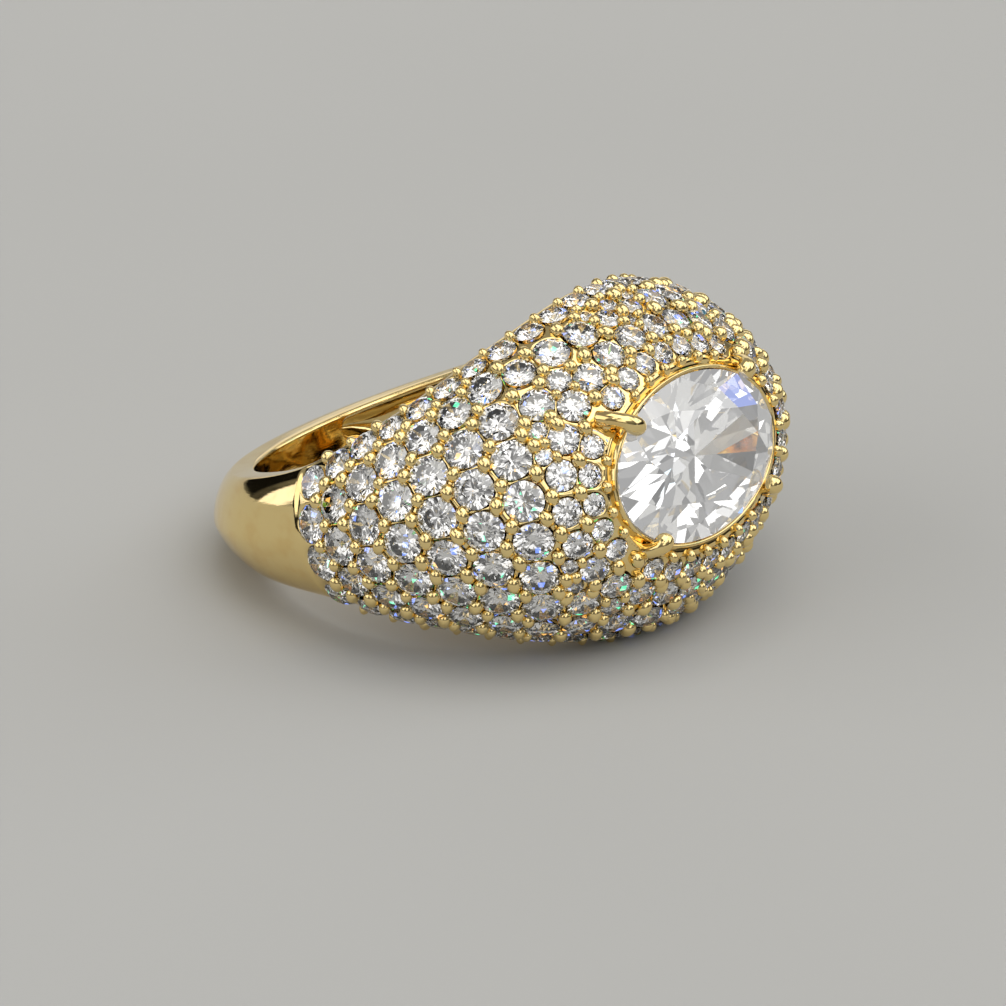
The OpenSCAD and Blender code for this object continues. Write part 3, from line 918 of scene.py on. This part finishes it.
def brilliant(table, crown, pavilion, girdle, steps):
    """Points and faces of a round brilliant of radius 1."""
    n = 8

    def at(turn, radius, height):
        q = math.radians(turn * 45)
        return [radius * math.cos(q), radius * math.sin(q), height]

    points, faces = [], []

    def add(p):
        points.append(p)
        return len(points) - 1

    half_turn = math.cos(math.radians(22.5))
    # Radii at which the stars end above and the lower halves end below
    star_r, lower_r = 0.5 * (table + 1) * 0.985, 0.24
    tables = [add(at(k, table, crown)) for k in range(n)]
    kite_slope = (crown - girdle) / (1 - table)
    stars = [add(at(k + 0.5, star_r, crown - (star_r * half_turn - table) * kite_slope)) for k in range(n)]
    main_slope = pavilion - girdle
    lows = [add(at(k + 0.5, lower_r, -pavilion + lower_r * half_turn * main_slope)) for k in range(n)]
    culet = add([0, 0, -pavilion])
    upper = [add(at(k / 2, 1, girdle)) for k in range(2 * n)]
    lower = [add(at(k / 2, 1, -girdle)) for k in range(2 * n)]

    def between(corner, first, second, turn):
        """Girdle points between two others, on the plane of their facet."""
        p, q, r = (np.array(points[k]) for k in (corner, first, second))
        normal = np.cross(q - p, r - p)
        made = []
        for s in range(1, steps):
            x, y, _ = at(turn / 2 + s / (2 * steps), 1, 0)
            drop = ((x - p[0]) * normal[0] + (y - p[1]) * normal[1]) / normal[2]
            made.append(add([x, y, p[2] - drop]))
        return made

    faces.append(tables)
    for k in range(n):
        j, h = (k + 1) % n, (k - 1) % n
        faces.append([tables[k], stars[k], tables[j]])
        faces.append([tables[k], stars[h], upper[2 * k], stars[k]])
        faces.append([culet, lows[k], lower[2 * k], lows[h]])
    for k in range(2 * n):
        j = (k + 1) % (2 * n)
        above = between(stars[k // 2], upper[k], upper[j], k)
        below = between(lows[k // 2], lower[k], lower[j], k)
        faces.append([stars[k // 2], upper[k], *above, upper[j]])
        faces.append([lows[k // 2], lower[j], *below[::-1], lower[k]])
        faces.append([upper[k], lower[k], *below, lower[j], upper[j], *above[::-1]])
    return np.array(points), faces


def small_stones(name, layout, material_name, more, replaced):
    """One mesh of round brilliants, each turned and leaned a little in its seat."""
    seed = bpy.context.scene.dome_ring_sizes.stone_turn + more
    colour = bpy.context.scene.dome_ring_looks.stone_colour
    material = stone_material(material_name, colour, SMALL_SPARKLE)
    shape, faces = brilliant(table=0.56, crown=0.30, pavilion=0.84, girdle=0.02, steps=2)
    rng = np.random.default_rng(seed)
    whole = Mesh()
    for place, along, normal, d in layout:
        turn, lean_a, lean_b = rng.uniform(0, math.pi / 4), *rng.normal(0, 0.025, 2)
        across = np.cross(normal, along)
        up = unit(normal + lean_a * along + lean_b * across)
        u = unit(np.cross(math.cos(turn) * across - math.sin(turn) * along, up))
        v = np.cross(up, u)
        p = shape * d / 2
        whole.add(place - SINK * normal + p[:, :1] * u + p[:, 1:2] * v + p[:, 2:] * up, faces)
    piece = make_piece(name, *whole.joined(), material, False, "small_stones")
    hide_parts(replaced)


class DOMERING_OT_halo(bpy.types.Operator):
    """Set the ring of small cut stones next to the oval"""

    bl_idname = "dome_ring.halo"
    bl_label = "Halo stones"

    def execute(self, context):
        small_stones("halo_cut", HALO, "halo stone", 0, "halo_stones")
        return {"FINISHED"}


class DOMERING_OT_pave(bpy.types.Operator):
    """Set the field of small cut stones over the dome and shoulders"""

    bl_idname = "dome_ring.pave"
    bl_label = "Pave stones"

    def execute(self, context):
        small_stones("pave_cut", PAVE + fillers(), "pave stone", 1, "pave_stones")
        return {"FINISHED"}


class DOMERING_OT_oval(bpy.types.Operator):
    """Cut the large oval stone"""

    bl_idname = "dome_ring.oval"
    bl_label = "Oval stone"

    def execute(self, context):
        looks = context.scene.dome_ring_looks
        crown, pavilion = CROWN / OVAL_B, PAVILION / OVAL_B
        shape, faces = brilliant(table=0.58, crown=crown, pavilion=pavilion, girdle=0.018, steps=5)
        across, along, height = shape[:, 1] * OVAL_B, shape[:, 0] * OVAL_A, shape[:, 2] * OVAL_B
        points = np.stack([GIRDLE_X + height, along, across], 1)
        material = stone_material("oval stone", looks.oval_colour, OVAL_SPARKLE)
        piece = make_piece("oval_cut", points, faces, material, False, "oval_stone")
        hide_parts("centre_stone")
        return {"FINISHED"}


# Camera and stage


CAMERA_AZIMUTH, CAMERA_ELEVATION, CAMERA_ROLL = -51.535, 24.2, 0.2
CAMERA_DISTANCE, CAMERA_LENS = 0.3935, 322.1
CAMERA_SHIFT = (0.0457, -0.0397)


def direction_to(azimuth, elevation):
    """Direction from the ring to a place at these degrees round it and above it."""
    a, e = math.radians(azimuth), math.radians(elevation)
    return Vector((math.sin(a) * math.cos(e), -math.cos(a) * math.cos(e), math.sin(e)))


class DOMERING_OT_camera(bpy.types.Operator):
    """Place the camera at the viewing angle of the reference"""

    bl_idname = "dome_ring.camera"
    bl_label = "Camera"

    def execute(self, context):
        data = bpy.data.cameras.new("camera")
        data.lens, data.sensor_width = CAMERA_LENS, 36
        data.shift_x, data.shift_y = CAMERA_SHIFT
        data.clip_start, data.clip_end = 0.01, 20
        camera = new_object("camera", data)
        towards = direction_to(CAMERA_AZIMUTH, CAMERA_ELEVATION)
        camera.location = Vector((0, FORWARD * MM, LIFT * MM)) + towards * CAMERA_DISTANCE
        camera.rotation_euler = towards.to_track_quat("Z", "Y").to_euler()
        camera.rotation_euler.rotate_axis("Z", math.radians(CAMERA_ROLL))
        context.scene.camera = camera
        return {"FINISHED"}


def card_group():
    """A rectangular card seen from the ring: 1 inside it, 0 outside, with a soft edge."""
    inputs = {"Right": (1, 0, 0), "Up": (0, 1, 0), "Edge Slope": -5.0, "Edge Offset": 5.0}
    tree, given, out = new_group("soft card", inputs, {"Mask": 0.0})
    ray = node(tree, "ShaderNodeTexCoord").outputs["Generated"]
    apart = [
        maths(tree, "ABSOLUTE", vector_maths(tree, "DOT_PRODUCT", ray, given[side]))
        for side in ("Right", "Up")
    ]
    values = (maths(tree, "MAXIMUM", *apart), given["Edge Slope"], given["Edge Offset"])
    mask = node(tree, "ShaderNodeMath", enumerate(values), operation="MULTIPLY_ADD", use_clamp=True)
    put(out["Mask"], mask.outputs[0])
    return tree


# The studio's light low down and high up, and the rise over which it changes
LOW_SKY, HIGH_SKY = (0.26, 0.258, 0.25, 1), (0.50, 0.497, 0.49, 1)
SKY_FROM, SKY_TO = 0.15, 0.60
# Cards round the ring: azimuth, elevation, half width, half height, softness, colour
CARDS = [
    (5, 56, 0.60, 0.36, 0.06, (2.95, 2.92, 2.84)),
    (-124, 28, 0.50, 0.34, 0.03, (2.4, 2.36, 2.28)),
    (128, 13, 0.42, 0.22, 0.05, (1.5, 1.48, 1.44)),
    (50, 26, 0.42, 0.22, 0.03, (2.9, 2.9, 2.9)),
    (40, 0, 0.60, 0.16, 0.04, (0.03, 0.03, 0.03)),
    (-163, 7, 0.10, 0.15, 0.015, (2.4, 2.4, 2.7)),
    (167, 8, 0.28, 0.12, 0.015, (0.01, 0.01, 0.01)),
    (0, 88, 0.32, 0.32, 0.05, (3.4, 3.34, 3.15)),
    (-40, 22, 0.22, 0.16, 0.03, (2.3, 2.28, 2.24)),
    (-62, 40, 0.05, 0.05, 0.01, (6.0, 6.0, 6.0)),
    (-80, 60, 0.16, 0.08, 0.02, (0.02, 0.02, 0.02)),
    (-38, 50, 0.10, 0.10, 0.02, (0.02, 0.02, 0.02)),
    (20, 36, 0.05, 0.16, 0.02, (0.02, 0.02, 0.02)),
    (-8, 46, 0.05, 0.04, 0.01, (0.3, 1.2, 5.0)),
    (62, 24, 0.09, 0.06, 0.02, (0.5, 1.5, 2.0)),
    (32, 50, 0.07, 0.06, 0.02, (2.4, 1.6, 0.6)),
]
# The soft box: where it stands in degrees, how far off and how large in metres
SOFT_BOX_FROM, SOFT_BOX_DISTANCE, SOFT_BOX_SIDES = (40, 65), 0.35, (0.25, 0.2)
# Half the floor's side, in metres, and how much darker its faint clouds are
FLOOR_HALF, FLOOR_CLOUD = 1.5, 0.94


class DOMERING_OT_stage(bpy.types.Operator):
    """Lay the pale floor and set the soft studio light"""

    bl_idname = "dome_ring.stage"
    bl_label = "Stage"

    def execute(self, context):
        looks = context.scene.dome_ring_looks
        mesh = bpy.data.meshes.new("floor")
        turns = ((-1, -1), (1, -1), (1, 1), (-1, 1))
        corners = [(FLOOR_HALF * x, FLOOR_HALF * y, 0) for x, y in turns]
        mesh.from_pydata(corners, [], [(0, 1, 2, 3)])
        floor = new_object("floor", mesh)
        material, tree, shader = new_material("pale floor")
        place = node(tree, "ShaderNodeTexCoord").outputs["Object"]
        cloud = noise(tree, place, 25.0, 1.0)
        darker = (*(FLOOR_CLOUD * c for c in looks.floor_colour), 1)
        colour = mixed(tree, cloud, (*looks.floor_colour, 1), darker)
        fill(shader, {"Base Color": colour, "Roughness": 0.6, "Specular IOR Level": 0.0})
        mesh.materials.append(material)

        world = bpy.data.worlds.new("studio")
        context.scene.world = world
        world.use_nodes = True
        tree = world.node_tree
        background = next(n for n in tree.nodes if n.type == "BACKGROUND")
        ray = node(tree, "ShaderNodeTexCoord").outputs["Generated"]
        rise = node(tree, "ShaderNodeSeparateXYZ", {"Vector": ray}).outputs[2]
        colour = mixed(tree, smooth_step(tree, rise, SKY_FROM, SKY_TO), LOW_SKY, HIGH_SKY)
        group = card_group()
        for azimuth, elevation, width, height, soft, shade in CARDS:
            towards = direction_to(azimuth, elevation)
            right = towards.cross(Vector((0, 0, 1))).normalized()
            edge = soft / min(width, height)
            values = {"Right": right / width, "Up": right.cross(towards) / height}
            values |= {"Edge Slope": -0.5 / edge, "Edge Offset": 0.5 * (1 + edge) / edge}
            card = node(tree, "ShaderNodeGroup", values, node_tree=group)
            colour = mixed(tree, card.outputs["Mask"], colour, (*shade, 1))
        fill(background, {"Color": colour, "Strength": looks.daylight})

        data = bpy.data.lights.new("soft box", "AREA")
        data.shape, data.size, data.size_y = "RECTANGLE", *SOFT_BOX_SIDES
        data.energy = looks.key_light
        data.color = (1.0, 0.97, 0.93)
        light = new_object("soft box", data)
        towards = direction_to(*SOFT_BOX_FROM)
        light.location = towards * SOFT_BOX_DISTANCE
        light.rotation_euler = towards.to_track_quat("Z", "Y").to_euler()
        context.scene.view_settings.view_transform = "Standard"
        return {"FINISHED"}


class DOMERING_PT_panel(bpy.types.Panel):
    """Sizes, colours and pieces of the dome ring"""

    bl_idname = "DOMERING_PT_panel"
    bl_label = "Dome Ring"
    bl_space_type = "VIEW_3D"
    bl_region_type = "UI"
    bl_category = "Dome Ring"

    def draw(self, context):
        for settings in (context.scene.dome_ring_sizes, context.scene.dome_ring_looks):
            box = self.layout.box()
            for key in settings.__annotations__:
                box.prop(settings, key)
        for operator in STEPS:
            self.layout.operator(operator.bl_idname)


STEPS = (
    DOMERING_OT_camera,
    DOMERING_OT_metal,
    DOMERING_OT_beads,
    DOMERING_OT_oval,
    DOMERING_OT_halo,
    DOMERING_OT_pave,
    DOMERING_OT_stage,
)
CLASSES = (RingSizes, RingLooks, *STEPS, DOMERING_PT_panel)


def register():
    for cls in CLASSES:
        bpy.utils.register_class(cls)
    bpy.types.Scene.dome_ring_sizes = PointerProperty(type=RingSizes)
    bpy.types.Scene.dome_ring_looks = PointerProperty(type=RingLooks)


def unregister():
    del bpy.types.Scene.dome_ring_looks
    del bpy.types.Scene.dome_ring_sizes
    for cls in reversed(CLASSES):
        bpy.utils.unregister_class(cls)


def main():
    register()
    bpy.ops.dome_ring.camera()
    bpy.ops.dome_ring.metal()
    bpy.ops.dome_ring.beads()
    bpy.ops.dome_ring.oval()
    bpy.ops.dome_ring.halo()
    bpy.ops.dome_ring.pave()
    bpy.ops.dome_ring.stage()


if __name__ == "__main__":
    main()
